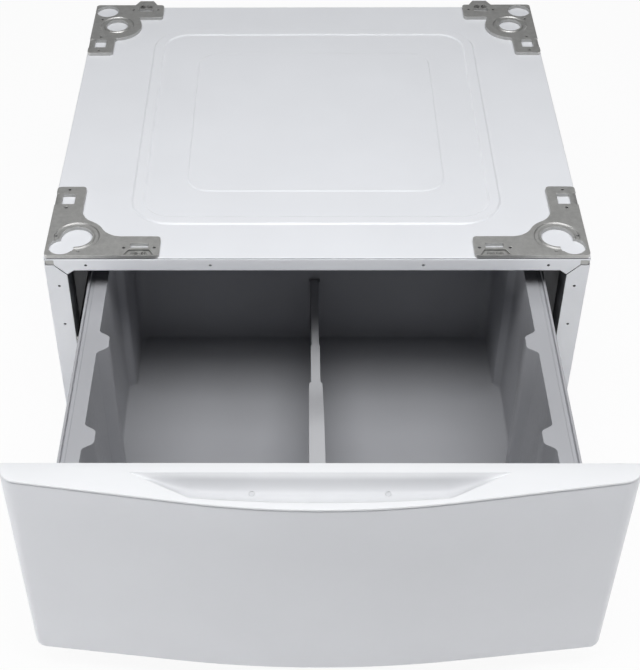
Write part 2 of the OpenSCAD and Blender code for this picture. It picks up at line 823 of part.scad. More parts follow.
module rear_plate(side) {
    color(zinc) at_corner(side, 1) difference() {
        union() {
            plate_tray([rear_lobe_x, rear_lobe_y], rear_lobe_r, rear_fillet_r, rear_arm_len);
            plate_collar(rear_lobe_x, rear_lobe_y, rear_hole_r);
            plate_collar(rear_outer_x, rear_outer_y, rear_hole_r);
            ring_floor(rear_lobe_x, rear_lobe_y, rear_hole_r);
            window_walls(rear_slot_x, rear_slot_y, slot_w, slot_l);
            mirror([0, 1, 0])
                trapezoid(rear_slot_x, -plate_t, tab_wide, tab_narrow, tab_out + plate_t,
                          plate_z - plate_t, plate_z);
        }
        ring_cut(rear_lobe_x, rear_lobe_y, rear_hole_r);
        through_plate(rear_lobe_x, rear_lobe_y, rear_hole_r);
        through_plate(rear_outer_x, rear_outer_y, rear_hole_r);
        plate_window(rear_slot_x, rear_slot_y, slot_w, slot_l);
        common_plate_cuts();
        through_plate(rear_pin_x, rear_pin_y, pin_hole_r);
        screw_cuts(rear_slot_x, plate_z);
        for (s = [-1, 1])
            through_plate(rear_slot_x + s * arm_pin_offset, arm_pin_y, pin_hole_r);
    }
}

// Pan head with a cross-shaped drive recess, its shank going down through the panel
module plate_screw(x, seat_z) {
    translate([x, screw_y, 0]) {
        difference() {
            translate([0, 0, seat_z]) cylinder(r = screw_head_r, h = screw_head_h);
            for (turn = [0, 90])
                translate([0, 0, seat_z + screw_head_h]) rotate([0, 0, turn])
                    cube([screw_head_r, screw_head_r / 5, screw_head_h], center = true);
        }
        translate([0, 0, cab_top + eps]) cylinder(r = screw_r, h = seat_z - cab_top);
    }
}

module corner_plate_screws() {
    color(steel)
        for (side = [-1, 1], s = [-1, 1]) {
            at_corner(side, -1)
                plate_screw(front_slot_x + s * screw_pitch / 2, plate_z - pocket_drop - screw_seat_drop);
            at_corner(side, 1)
                plate_screw(rear_slot_x + s * screw_pitch / 2, plate_z - screw_seat_drop);
        }
}

// Section of a channel that opens towards the cabinet's middle; u runs inwards from the mounting plane
module channel_section(u0, u1, half_h, lips_from) {
    web = lips_from ? [u1 - slide_t, u1] : [u0, u0 + slide_t];
    translate([web[0], -half_h]) square([slide_t, 2 * half_h]);
    for (s = [-1, 1])
        translate([u0, s > 0 ? half_h - slide_t : -half_h]) square([u1 - u0, slide_t]);
}

// Extrudes a slide section along Y on the right-hand side, u measured inwards
module along_slide(side, y0, len) {
    handed(side) translate([inner_plane_x, y0 + len, slide_z]) rotate([90, 0, 0])
        mirror([1, 0, 0]) linear_extrude(len) children();
}

module slide_cabinet_member(side) {
    color(steel) along_slide(side, slide_front_y, slide_len) {
        channel_section(0, slide_w - lip_gap, slide_h / 2, false);
        for (s = [-1, 1])
            translate([slide_w - lip_gap - slide_t, s > 0 ? slide_h / 2 - 2 * slide_t : -slide_h / 2])
                square([slide_t, 2 * slide_t]);
    }
}

module slide_drawer_member(side) {
    color(steel) along_slide(side, drawer_member_front_y, slide_len)
        channel_section(inner_lip_gap, slide_w, inner_half_h, true);
}

module each_ball(side) {
    ball_row = (ball_count - 1) * ball_pitch;
    for (s = [-1, 1], k = [0:ball_count - 1])
        translate([side * (inner_plane_x - ball_u),
                   cage_front_y + (cage_len - ball_row) / 2 + k * ball_pitch,
                   slide_z + s * ball_w])
            children();
}

module slide_ball_cage(side) {
    cage_u = slide_t + cage_gap;
    half = ball_w + cage_t / 2;
    color([0.55, 0.55, 0.5]) difference() {
        along_slide(side, cage_front_y, cage_len) {
            translate([cage_u, -half]) square([cage_t, 2 * half]);
            for (s = [-1, 1])
                translate([cage_u, s > 0 ? half - cage_t : -half]) square([cage_leg_end - cage_u, cage_t]);
        }
        each_ball(side) cylinder(r = ball_r + cage_hole_gap, h = 2 * cage_t, center = true);
    }
}

module slide_balls(side) {
    color([0.8, 0.8, 0.82]) each_ball(side) sphere(r = ball_r);
}

// Hat-shaped bracket between a side panel and the rear end of its slide
module slide_rear_bracket(side) {
    y0 = slide_rear_y - rear_bracket_from_end;
    z0 = slide_z - rear_bracket_h / 2;
    outer = hw - sheet_t;
    color(zinc) handed(side) {
        box([inner_plane_x, y0, z0], [inner_plane_x + rear_bracket_t, y0 + rear_bracket_w, z0 + rear_bracket_h]);
        for (y = [y0, y0 + rear_bracket_w - rear_bracket_t])
            box([inner_plane_x, y, z0], [outer - eps, y + rear_bracket_t, z0 + rear_bracket_h]);
        for (s = [0, 1])
            box([outer - rear_bracket_t - eps, y0 + (s > 0 ? rear_bracket_w - rear_bracket_t : -side_rail_w / 2),
                 z0],
                [outer - eps, y0 + (s > 0 ? rear_bracket_w + side_rail_w / 2 : rear_bracket_t),
                 z0 + rear_bracket_h]);
    }
}

// How far the side wall stands in at a place y along the tub
function side_bump(y) =
    let (first = tub_front_y + pilaster_1_from_front,
         crest = pilaster_w * pilaster_crest_share / 2,
         ramp = pilaster_w / 2 - crest,
         near = min(abs(y - first), abs(y - first + pilaster_pitch)))
    max(pilaster_d * smooth((pilaster_w / 2 - near) / ramp),
        rear_step_d * smooth((y - tub_back_y + rear_step_from_back) / rear_step_ramp));

// Places along the side wall where the outline has points
function side_places() =
    let (first = tub_front_y + pilaster_1_from_front,
         crest = pilaster_w * pilaster_crest_share / 2,
         ramp = pilaster_w / 2 - crest,
         step = tub_back_y - rear_step_from_back)
    concat([for (k = [1, 0], s = [-1, 1], i = [0:ramp_steps])
               let (c = first - k * pilaster_pitch, t = s < 0 ? 1 - i / ramp_steps : i / ramp_steps)
               c + s * (crest + ramp * t)],
           [for (i = [0:ramp_steps]) step + rear_step_ramp * i / ramp_steps]);

// One ring of the tub: half width, front and back places, corner radius, height and share of the bumps
function tub_ring(half, front, back, r, z, bumps) =
    let (places = side_places(), last = len(places) - 1)
    concat(
        [for (y = places) [half - bumps * side_bump(y), y, z]],
        [for (i = [0:corner_steps]) let (a = 90 * i / corner_steps)
            [half - r - bumps * side_bump(back) + r * cos(a), back - r + r * sin(a), z]],
        [for (i = [0:corner_steps]) let (a = 90 + 90 * i / corner_steps)
            [-half + r + bumps * side_bump(back) + r * cos(a), back - r + r * sin(a), z]],
        [for (k = [last:-1:0]) [-half + bumps * side_bump(places[k]), places[k], z]],
        [for (i = [0:corner_steps]) let (a = 180 + 90 * i / corner_steps)
            [-half + r + r * cos(a), front + r + r * sin(a), z]],
        [for (i = [0:corner_steps]) let (a = 270 + 90 * i / corner_steps)
            [half - r + r * cos(a), front + r + r * sin(a), z]]);

// Ring drawn in by d from the inner wall, or out where d is negative
function wall_ring(d, z) =
    tub_ring(tub_half_w - d, tub_front_y + d, tub_back_y - d, tub_corner_r - d, z, 1);

// Rim ring at share s of the way from the inner edge to the outer edge of the rim
function rim_ring(w, z) =
    let (s = w / rim_w)
    tub_ring(tub_half_w + w, tub_front_y - s * rim_front_w, tub_back_y + s * rim_back_w,
             tub_corner_r + s * rim_front_w, z, 0);

module tub_shell() {
    inner = [for (i = [0:fillet_steps]) let (a = 90 * i / fillet_steps)
        wall_ring(tub_draft + tub_floor_r * (1 - sin(a)), tub_floor_z + tub_floor_r * (1 - cos(a)))];
    outer = [for (i = [fillet_steps:-1:0]) let (a = 90 * i / fillet_steps, r = tub_floor_r + tub_t)
        wall_ring(tub_draft - tub_t + r * (1 - sin(a)), tub_floor_z - tub_t + r * (1 - cos(a)))];
    rings = concat(
        inner,
        [wall_ring(0, rim_z - groove_h), wall_ring(-rim_inner_shift, rim_z),
         rim_ring(rim_w - lip_w - groove_w - groove_side, rim_z),
         rim_ring(rim_w - lip_w - groove_w, rim_z - groove_h),
         rim_ring(rim_w - lip_w - groove_side, rim_z - groove_h),
         rim_ring(rim_w - lip_w, rim_z + lip_h),
         rim_ring(rim_w - groove_side, rim_z + lip_h),
         rim_ring(rim_w, rim_z + lip_h - groove_side),
         rim_ring(rim_w, rim_under_z),
         wall_ring(-tub_t, rim_under_z)],
        outer);
    ends = [for (z = [tub_floor_z, tub_floor_z - tub_t]) [0, (tub_front_y + tub_back_y) / 2, z]];
    polyhedron(concat([for (ring = rings) each ring], ends), ring_faces(len(rings[0]), len(rings)));
}

function fscrew_places() =
    [for (x = [-fscrew_x, 0, fscrew_x], k = [0, 1]) if (x != 0 || k == 0)
        [x, rim_z - fscrew_top_drop - k * fscrew_pitch_z]];

module drawer_tub() {
    color(plastic) difference() {
        tub_shell();
        for (p = fscrew_places())
            translate([p.x, front_back_y, p.y]) rotate([-90, 0, 0])
                cylinder(r = fscrew_r + fscrew_tub_gap, h = tub_t + 2 * over);
    }
}

// How far the leaning inner wall of the tub stands in at height z
function wall_lean(z) = tub_draft * (rim_z - z) / (rim_z - tub_floor_z - tub_floor_r);

module drawer_front_screws() {
    color(steel)
        for (p = fscrew_places())
            translate([p.x, tub_front_y + wall_lean(p.y) + eps, p.y]) rotate([90, 0, 0]) {
                translate([0, 0, -fscrew_head_h]) cylinder(r = fscrew_head_r, h = fscrew_head_h);
                cylinder(r = fscrew_r, h = tub_front_y - front_back_y + fscrew_tail);
            }
}

module drawer_rail(side) {
    front = front_back_y + fit_gap;
    back = tub_back_y - drail_back_gap;
    x = drail_x;
    t = drail_t;
    section = [
        [x - drail_bottom_flange, drail_bottom_z - t], [x, drail_bottom_z - t], [x, drail_bend_z],
        [drail_top_x, drail_bend_z + drail_bend_h], [drail_top_x, rim_under_z],
        [drail_top_x - drail_top_flange, rim_under_z], [drail_top_x - drail_top_flange, rim_under_z - t],
        [drail_top_x - t, rim_under_z - t], [drail_top_x - t, drail_bend_z + drail_bend_h - t / 2],
        [x - t, drail_bend_z - t / 2], [x - t, drail_bottom_z], [x - drail_bottom_flange, drail_bottom_z]];
    end_z = drail_bend_z - drail_end_h / 2;
    color(zinc) handed(side) {
        translate([0, back, 0]) rotate([90, 0, 0]) linear_extrude(back - front) polygon(section);
        box([x - drail_end_w, front, end_z], [x - t / 2, front + t, drail_bend_z]);
    }
}

// Plan outline of the divider, which thickens towards the front in two steps
module divider_plan() {
    back = tub_back_y - divider_gap;
    front = tub_front_y + divider_gap + tub_floor_r;
    mid = tub_back_y - mid_from_back;
    step = tub_back_y - shoulder_from_back;
    half = [[divider_rear_w / 2, back], [divider_rear_w / 2, mid],
            [divider_mid_w / 2, mid - shoulder_run], [divider_mid_w / 2, step],
            [divider_shoulder_w / 2, step - shoulder_run], [divider_front_w / 2, front]];
    polygon(concat(half, [for (k = [len(half) - 1:-1:0]) [-half[k].x, half[k].y]]));
}

module divider() {
    back = tub_back_y - divider_gap;
    front = tub_front_y + divider_gap;
    step = tub_back_y - shoulder_from_back - shoulder_run;
    z0 = tub_floor_z + divider_floor_gap;
    rise = divider_front_h - divider_rear_h;
    top = concat(
        [[back, tub_floor_z + divider_rear_h]],
        [for (i = [0:sweep_steps]) let (t = i / sweep_steps)
            [step - sweep_len * t, tub_floor_z + divider_rear_h + rise * smooth(t)]],
        [[front, tub_floor_z + divider_front_h]]);
    side = concat(top, [[front, z0 + tub_floor_r], [front + tub_floor_r, z0],
                        [back - tub_floor_r, z0], [back, z0 + tub_floor_r]]);
    color([0.68, 0.69, 0.71]) intersection() {
        translate([0, 0, tub_floor_z]) linear_extrude(rim_z - tub_floor_z) divider_plan();
        translate([divider_front_w, 0, 0]) rotate([90, 0, -90]) mirror([1, 0, 0])
            linear_extrude(2 * divider_front_w) polygon(side);
    }
}

// Ribs at both ends of the tub that the divider slides between
module divider_guides() {
    z0 = tub_floor_z + tub_floor_r + tub_t;
    color(plastic)
        for (s = [-1, 1]) {
            handed(s) box([divider_rear_w / 2 + guide_gap, tub_back_y - guide_back_gap - guide_d, z0],
                          [divider_rear_w / 2 + guide_gap + guide_t, tub_back_y - guide_back_gap,
                           tub_floor_z + divider_rear_h + guide_over]);
            handed(s) box([divider_front_w / 2 + guide_gap, tub_front_y + guide_back_gap, z0],
                          [divider_front_w / 2 + guide_gap + guide_t, tub_front_y + guide_back_gap + guide_d,
                           tub_floor_z + divider_front_h - guide_over]);
        }
}

// Bow of the drawer front at a distance x from its middle
function bow(x, depth, r, flank) =
    let (turn_x = r * sin(flank), a = min(abs(x), turn_x))
    depth - (r - sqrt(sq(r) - sq(a))) - max(abs(x) - turn_x, 0) * tan(flank);

// How far the front's sides draw in at height h above its lower edge, round the lower corners
function side_draw(h) =
    h < front_round_r ? front_round_r - sqrt(max(sq(front_round_r) - sq(front_round_r - h), 0)) : 0;

// Right half of the front's plan outline as [x, depth], at share t from the top edge to the bottom edge
function front_half(t, inset, draw) =
    let (depth = mix(front_depth_top, front_depth_bottom, t) - inset,
         r = mix(bow_r_top, bow_r_bottom, t),
         flank = mix(flank_deg_top, flank_deg_bottom, t),
         corner = max(mix(front_corner_r_top, front_corner_r_bottom, t) - inset, skin_edge_r),
         edge = hw - inset - draw,
         turn_x = r * sin(flank),
         cx = edge - corner,
         cd = max(bow(cx, depth, r, flank) - corner / cos(flank), 0))
    concat(
        [for (i = [0:arc_steps]) let (x = turn_x * i / arc_steps) [x, bow(x, depth, r, flank)]],
        [for (i = [1:flank_steps]) let (x = mix(turn_x, cx + corner * sin(flank), i / (flank_steps + 1)))
            [x, bow(x, depth, r, flank)]],
        [for (i = [0:round_steps]) let (a = mix(flank, 90, i / round_steps))
            [cx + corner * sin(a), cd + corner * cos(a)]],
        [[edge, 0]]);

// Whole outline from the left end round the bow to the right end, in the row's own places
function front_outline(t, inset, z) =
    let (half = front_half(t, inset, side_draw(z - front_bottom_z)), last = len(half) - 1)
    concat([for (k = [last:-1:1]) [-half[k].x, front_back_y - half[k].y, z]],
           [for (p = half) [p.x, front_back_y - p.y, z]]);

// Bowed skin, rolled at its top and bottom edges, with a flange along the bottom
module front_skin() {
    span = skin_top_z - front_bottom_z;
    mid_roll = skin_roll_r * (1 - cos(45));
    levels = [[0, skin_roll_r, skin_t + skin_roll_r], [mid_roll, mid_roll, skin_t + mid_roll],
              [skin_roll_r, 0, skin_t], [span / 3, 0, skin_t], [span * 2 / 3, 0, skin_t],
              [span - front_round_r, 0, skin_t], [span - front_round_r / 2, 0, skin_t],
              [span - skin_t - skin_edge_r, 0, skin_t],
              [span - skin_t, 0, skin_flange_w],
              [span - skin_edge_r, 0, skin_flange_w],
              [span, skin_edge_r, skin_flange_w]];
    outer = [for (l = levels) each front_outline(l[0] / span, l[1], skin_top_z - l[0])];
    inner = [for (l = levels)
        each front_outline(l[0] / span, min(l[2], front_corner_r_bottom), skin_top_z - l[0])];
    n = len(front_outline(0, 0, skin_top_z));
    color(paint) polyhedron(concat(outer, inner), sheet_faces(len(levels), n));
}

module front_inner_panel() {
    half = hw - skin_t - inner_gap;
    z0 = front_bottom_z + skin_t + inner_gap;
    z1 = cab_top - cap_h - inner_gap;
    corner = front_round_r - skin_t - inner_gap;
    color(paint) difference() {
        union() {
            translate([0, front_back_y, 0]) rotate([90, 0, 0]) linear_extrude(inner_t) {
                round_rect([-half, z0], [2 * half, z1 - z0], corner);
                translate([-half, z0 + corner]) square([2 * half, z1 - z0 - corner]);
            }
            for (k = [0, 1])
                translate([0, front_back_y - inner_t + eps, 0]) rotate([90, 0, 0])
                    linear_extrude(inner_bead_h)
                        round_rect([-inner_bead_w / 2, mix(z0, z1, (1 + 2 * k) / 4) - inner_bead_l / 2],
                                   [inner_bead_w, inner_bead_l], back_bead_r);
        }
        for (p = fscrew_places())
            translate([p.x, front_back_y + over, p.y]) rotate([90, 0, 0])
                cylinder(r = fscrew_r + fscrew_gap, h = 4 * over);
    }
}

// Share of the full width that the scoop has at x
function scoop_open(x) = clamp((scoop_half - abs(x)) / (scoop_half - scoop_turn_x), 0, 1);

// Width of the scoop at x, bowed along the middle and straight towards its tips
function scoop_reach(x) =
    let (a = min(abs(x), scoop_turn_x))
    scoop_open(x) * (scoop_front - scoop_rear - scoop_bow_r + sqrt(sq(scoop_bow_r) - sq(a)));

// Fall of the dish at share p from its rear edge to its front edge
function dish_fall(p) =
    let (m = scoop_bottom_share)
    p < m ? 1 - pow(1 - p / m, scoop_rear_curve) : 1 - pow((p - m) / (1 - m), scoop_front_curve);

// Shares across the dish, dense round its deepest line
function dish_shares() =
    let (m = scoop_bottom_share, half = scoop_steps / 2)
    concat([for (i = [0:half]) m * sin(90 * i / half)], [for (i = [1:half]) mix(1, m, cos(90 * i / half))]);

// Section of the cap at x, as [depth, fall] from its back edge to its front edge
function cap_section(x, depth) =
    let (open = scoop_open(x),
         rear = min(scoop_rear, depth * scoop_rear_share),
         edge = min(cap_edge_r, depth * scoop_rear_share / 2),
         far = rear + max(scoop_reach(x), edge / 2))
    concat(
        [[0, edge], [edge * (1 - cos(45)), edge * (1 - cos(45))], [edge, 0], [rear - edge / 4, 0]],
        [for (p = dish_shares()) [mix(rear, far, p), scoop_deep * open * max(dish_fall(p), 0)]],
        [[min(far + edge / 2, depth - edge * 1.5), 0], [depth - edge, 0],
         [depth - edge * (1 - sin(45)), edge * (1 - cos(45))], [depth, edge]]);

// Places across the cap: dense over the scoop's ends and the round corners
function cap_places() =
    let (half = front_half(0, 0, 0), last = len(half) - 2)
    concat([for (i = [0:4]) scoop_turn_x * i / 5], [for (i = [0:6]) mix(scoop_turn_x, scoop_half, i / 6)],
           [for (k = [arc_steps + 3:last]) half[k].x]);

// Fall of the cap's top over its rounded side edges
function side_fall(x) =
    let (a = max(abs(x) - hw + cap_side_r, 0))
    cap_side_r - sqrt(max(sq(cap_side_r) - sq(a), 0));

// Depth of the front at x, following the bow, the flank and the round corner
function front_depth_at(x) =
    let (corner = front_corner_r_top, cx = hw - corner,
         cd = bow(cx, front_depth_top, bow_r_top, flank_deg_top) - corner / cos(flank_deg_top),
         turn_x = cx + corner * sin(flank_deg_top))
    abs(x) < turn_x ? bow(x, front_depth_top, bow_r_top, flank_deg_top)
                    : cd + sqrt(max(sq(corner) - sq(abs(x) - cx), 0));

module front_top_cap() {
    right = cap_places();
    xs = concat([for (k = [len(right) - 1:-1:1]) -right[k]], right);
    rows = [for (x = xs) cap_section(x, front_depth_at(x))];
    n = len(rows[0]);
    top = [for (i = [0:len(xs) - 1], p = rows[i])
        [xs[i], front_back_y - p.x, cab_top - max(p.y, 0) - side_fall(xs[i])]];
    bottom = [for (i = [0:len(xs) - 1], p = rows[i])
        let (fall = p.y > cap_edge_r ? p.y + cap_under : 0)
        [xs[i], front_back_y - p.x, cab_top - max(cap_h, fall)]];
    color(white_plastic) difference() {
        polyhedron(concat(top, bottom), sheet_faces(len(xs), n));
        for (side = [-1, 1])
            plug_place(side) cylinder(r = plug_r + plug_gap, h = scoop_deep);
    }
}

// Seat of a plug, sunk under the dish's deepest line
module plug_place(side) {
    depth = scoop_rear + scoop_bottom_share * scoop_reach(plug_x);
    translate([side * plug_x, front_back_y - depth, cab_top - scoop_deep - plug_h]) children();
}

module scoop_plugs() {
    color([0.8, 0.8, 0.82])
        for (side = [-1, 1])
            plug_place(side) translate([0, 0, plug_gap]) cylinder(r = plug_r, h = plug_h + plug_stand);
}

top_panel();
side_panel(-1);  // side_panel_left
side_panel(1);  // side_panel_right
back_panel();
back_panel_screws();
cross_rail(-1);  // base_rail_front
cross_rail(1);  // base_rail_rear
side_rail(-1);  // base_rail_left
side_rail(1);  // base_rail_right
foot_brackets();
foot_weld_nuts();
foot_lock_nuts();
front_corner_gussets();
front_plate(-1);  // corner_plate_front_left
front_plate(1);  // corner_plate_front_right
rear_plate(-1);  // corner_plate_rear_left
rear_plate(1);  // corner_plate_rear_right
corner_plate_screws();
slide_cabinet_member(-1);  // slide_cabinet_member_left
slide_cabinet_member(1);  // slide_cabinet_member_right
slide_rear_bracket(-1);  // slide_rear_bracket_left
slide_rear_bracket(1);  // slide_rear_bracket_right
slide_ball_cage(-1);  // slide_ball_cage_left
slide_ball_cage(1);  // slide_ball_cage_right
slide_balls(-1);  // slide_balls_left
slide_balls(1);  // slide_balls_right
slide_drawer_member(-1);  // slide_drawer_member_left
slide_drawer_member(1);  // slide_drawer_member_right
drawer_rail(-1);  // drawer_rail_left
drawer_rail(1);  // drawer_rail_right
drawer_tub();
drawer_front_screws();
divider_guides();
divider();
front_skin();
front_inner_panel();
front_top_cap();
scoop_plugs();
foot_pad(-1, -1);  // foot_pad_front_left
foot_pad(1, -1);  // foot_pad_front_right
foot_pad(-1, 1);  // foot_pad_rear_left
foot_pad(1, 1);  // foot_pad_rear_right
foot_stud(-1, -1);  // foot_stud_front_left
foot_stud(1, -1);  // foot_stud_front_right
foot_stud(-1, 1);  // foot_stud_rear_left
foot_stud(1, 1);  // foot_stud_rear_right
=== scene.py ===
"""Looks of a laundry pedestal whose wide drawer stands open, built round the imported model."""

import json
import math

import bpy
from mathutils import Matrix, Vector


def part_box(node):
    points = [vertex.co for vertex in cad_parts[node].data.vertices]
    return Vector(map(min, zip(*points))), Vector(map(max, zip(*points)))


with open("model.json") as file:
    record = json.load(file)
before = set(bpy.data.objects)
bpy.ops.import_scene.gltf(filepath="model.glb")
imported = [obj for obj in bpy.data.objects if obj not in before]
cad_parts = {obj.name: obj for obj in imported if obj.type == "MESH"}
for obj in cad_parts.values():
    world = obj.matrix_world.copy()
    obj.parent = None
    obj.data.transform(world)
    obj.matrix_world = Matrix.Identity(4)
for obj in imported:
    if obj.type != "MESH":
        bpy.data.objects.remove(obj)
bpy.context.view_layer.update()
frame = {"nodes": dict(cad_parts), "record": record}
nodes = frame["nodes"]

# ---------------------------------------------------------------- materials

ENAMEL_WHITE = (0.80, 0.815, 0.85)
# The drawer front's white is greyer than the cabinet's, partly as painted shade on its face
FRONT_SHADED_WHITE = (0.715, 0.727, 0.757)
# Dark greys painted on the cabinet's inner sheets as the shade of its hollow
INSIDE_SHADE_DARK, INSIDE_SHADE_PALE = (0.065, 0.068, 0.078), (0.085, 0.088, 0.10)
# Greys painted into the cap's scoop as the shade of its hollow
SCOOP_SHADE_DARK, SCOOP_SHADE_PALE = (0.58, 0.588, 0.61), (0.60, 0.608, 0.63)
CLEAR_COAT = 0.25
# What the roughness inside the cabinet, where shade is painted, has over the enamel's
INSIDE_SHADE_EXTRA_ROUGHNESS = 0.4
THREAD_PITCH = 0.0015
THREAD_BUMP = 0.0004
# Heights below the cap's top and distances in front of its rear between which the scoop is painted
# grey as shade
SCOOP_SHADE_DEPTHS = (0.0015, 0.008)
SCOOP_SHADE_REACH = (0.016, 0.054)
# Noise lies mostly between these two values, so what follows it runs between them
NOISE_LOW, NOISE_HIGH = 0.3, 0.7
# The colour sockets of a Mix node, whose names it shares with its other types
MIX_A, MIX_B, MIX_RESULT = 6, 7, 2
X, Y, Z = range(3)


class Shader:
    """Short calls that build one node material round a Principled shader."""

    def __init__(self, name, color, rough, metallic=0.0, **sockets):
        self.material = bpy.data.materials.new(name)
        self.material.use_nodes = True
        self.tree = self.material.node_tree
        self.bsdf = self.tree.nodes["Principled BSDF"]
        self.color = (*color, 1.0)
        self.set("Base Color", self.color)
        self.set("Roughness", rough)
        self.set("Metallic", metallic)
        for socket, value in sockets.items():
            self.set(socket.replace("_", " "), value)
        self.coords = self.add("ShaderNodeTexCoord").outputs["Object"]
        self.height = None

    def soft_edges(self, radius):
        """Rounds the shading over sharp edges."""
        node = self.add("ShaderNodeBevel", samples=6)
        node.inputs["Radius"].default_value = radius
        self.height = node.outputs["Normal"]
        self.link(self.height, self.bsdf.inputs["Normal"])
        return self

    def set(self, socket, value):
        self.bsdf.inputs[socket].default_value = value

    def add(self, kind, **props):
        node = self.tree.nodes.new(kind)
        for key, value in props.items():
            setattr(node, key, value)
        return node

    def link(self, a, b):
        self.tree.links.new(a, b)

    def stretched(self, scale):
        """The place with each axis multiplied by its part of scale."""
        mapping = self.add("ShaderNodeMapping")
        mapping.inputs["Scale"].default_value = scale
        self.link(self.coords, mapping.inputs["Vector"])
        return mapping.outputs["Vector"]

    def noise(self, scale, detail=3.0, rough=0.5, stretch=None):
        node = self.add("ShaderNodeTexNoise")
        node.inputs["Scale"].default_value = scale
        node.inputs["Detail"].default_value = detail
        node.inputs["Roughness"].default_value = rough
        self.link(self.stretched(stretch) if stretch else self.coords, node.inputs["Vector"])
        return node.outputs["Fac"]

    def ramp(self, value, stops):
        """Colours from value by stops of (place, colour)."""
        node = self.add("ShaderNodeValToRGB")
        elements = node.color_ramp.elements
        while len(elements) < len(stops):
            elements.new(0.5)
        for element, (place, shade) in zip(elements, stops):
            element.position = place
            element.color = (*shade, 1.0)
        self.link(value, node.inputs["Fac"])
        return node.outputs["Color"]

    def noise_ramp(self, value, low, high):
        """Colour that runs from low to high with a noise."""
        return self.ramp(value, [(NOISE_LOW, low), (NOISE_HIGH, high)])

    def math(self, operation, a, b):
        node = self.add("ShaderNodeMath", operation=operation)
        for slot, value in zip(node.inputs, (a, b)):
            if isinstance(value, (int, float)):
                slot.default_value = value
            else:
                self.link(value, slot)
        return node.outputs["Value"]

    def fade(self, value, start, end):
        """Rises softly from 0 at start to 1 at end."""
        node = self.add("ShaderNodeMapRange", interpolation_type="SMOOTHSTEP")
        node.inputs["From Min"].default_value = start
        node.inputs["From Max"].default_value = end
        self.link(value, node.inputs["Value"])
        return node.outputs["Result"]

    def axis(self, index):
        """The place along one axis, in metres of the shared frame."""
        node = self.add("ShaderNodeSeparateXYZ")
        self.link(self.coords, node.inputs[0])
        return node.outputs[index]

    def mix_color(self, share, color):
        """Lays a second colour over the base colour where share is 1."""
        node = self.add("ShaderNodeMix", data_type="RGBA")
        base = self.bsdf.inputs["Base Color"].links[0].from_socket
        self.link(share, node.inputs["Factor"])
        self.link(base, node.inputs[MIX_A])
        self.link(color, node.inputs[MIX_B])
        self.link(node.outputs[MIX_RESULT], self.bsdf.inputs["Base Color"])
        return self

    def tint(self, value, spread):
        """Lets the colour vary by a share either way with value."""
        low = tuple(c * (1 - spread) for c in self.color[:3])
        high = tuple(min(c * (1 + spread), 1.0) for c in self.color[:3])
        self.link(self.noise_ramp(value, low, high), self.bsdf.inputs["Base Color"])
        return self

    def rough_by(self, value, low, high):
        """Lets the roughness run from low to high with value."""
        node = self.add("ShaderNodeMapRange")
        node.inputs["To Min"].default_value = low
        node.inputs["To Max"].default_value = high
        node.inputs["From Min"].default_value = NOISE_LOW
        node.inputs["From Max"].default_value = NOISE_HIGH
        self.link(value, node.inputs["Value"])
        self.link(node.outputs["Result"], self.bsdf.inputs["Roughness"])
        return self

    def bump(self, value, distance):
        """Raises the surface by up to distance metres with value."""
        node = self.add("ShaderNodeBump")
        node.inputs["Strength"].default_value = 1.0
        node.inputs["Distance"].default_value = distance
        self.link(value, node.inputs["Height"])
        if self.height is not None:
            self.link(self.height, node.inputs["Normal"])
        self.height = node.outputs["Normal"]
        self.link(self.height, self.bsdf.inputs["Normal"])
        return self


def enamel(name, color, edge):
    """Fired white paint with a faint orange peel, and edges rounded by edge metres."""
    s = Shader(name, color, rough=0.34, Coat_Weight=CLEAR_COAT, Coat_Roughness=0.12)
    s.tint(s.noise(9.0, detail=2.0), spread=0.012)
    s.rough_by(s.noise(60.0), low=0.30, high=0.40)
    s.soft_edges(edge)
    return s.bump(s.noise(420.0, detail=2.0), distance=0.00003)


def enamel_with_painted_inside_shade(low, high):
    """Enamel outside the box from low to high, and dark grey painted shade on the sheets inside it.
    """
    s = enamel("cabinet_enamel", ENAMEL_WHITE, edge=0.0018)
    inside = None
    for axis in (X, Y, Z):
        place = s.axis(axis)
        for bound, operation in ((low[axis], "GREATER_THAN"), (high[axis], "LESS_THAN")):
            test = s.math(operation, place, bound)
            inside = test if inside is None else s.math("MULTIPLY", inside, test)
    # Painted shade: the sheets inside the cabinet are dark grey
    painted_shade = s.noise_ramp(s.noise(30.0, detail=4.0), INSIDE_SHADE_DARK, INSIDE_SHADE_PALE)
    s.mix_color(inside, painted_shade)
    # Where the shade is painted there is no clear coat and the surface is rougher
    coat = s.math("MULTIPLY", s.math("SUBTRACT", 1.0, inside), CLEAR_COAT)
    s.link(coat, s.bsdf.inputs["Coat Weight"])
    gloss = s.bsdf.inputs["Roughness"].links[0].from_socket
    extra = s.math("MULTIPLY", inside, INSIDE_SHADE_EXTRA_ROUGHNESS)
    s.link(s.math("ADD", gloss, extra), s.bsdf.inputs["Roughness"])
    return s.material


def cap_plastic(low, high, rear, front):
    """White plastic with painted shade greying the scoop, from height high to low and from front to
    rear.
    """
    s = Shader("white_cap", (0.80, 0.81, 0.83), rough=0.42, Specular_IOR_Level=0.3)
    s.tint(s.noise(14.0, detail=2.0), spread=0.008)
    # Painted shade: the scoop greys the deeper and further back it lies
    depth = s.fade(s.axis(Z), high, low)
    share = s.math("MULTIPLY", depth, s.fade(s.axis(Y), front, rear))
    shade = s.noise_ramp(s.noise(14.0, detail=2.0), SCOOP_SHADE_DARK, SCOOP_SHADE_PALE)
    s.mix_color(share, shade)
    s.rough_by(s.noise(80.0), low=0.40, high=0.46)
    s.soft_edges(0.0005)
    return s.bump(s.noise(900.0, detail=2.0), distance=0.00001).material


def moulded(name, color, rough, grain):
    """Moulded plastic whose fine grain is grain metres deep."""
    s = Shader(name, color, rough)
    s.tint(s.noise(6.0), spread=0.03)
    s.rough_by(s.noise(150.0), low=rough - 0.05, high=rough + 0.06)
    s.soft_edges(0.0012)
    return s.bump(s.noise(1500.0, rough=0.6), distance=grain).material


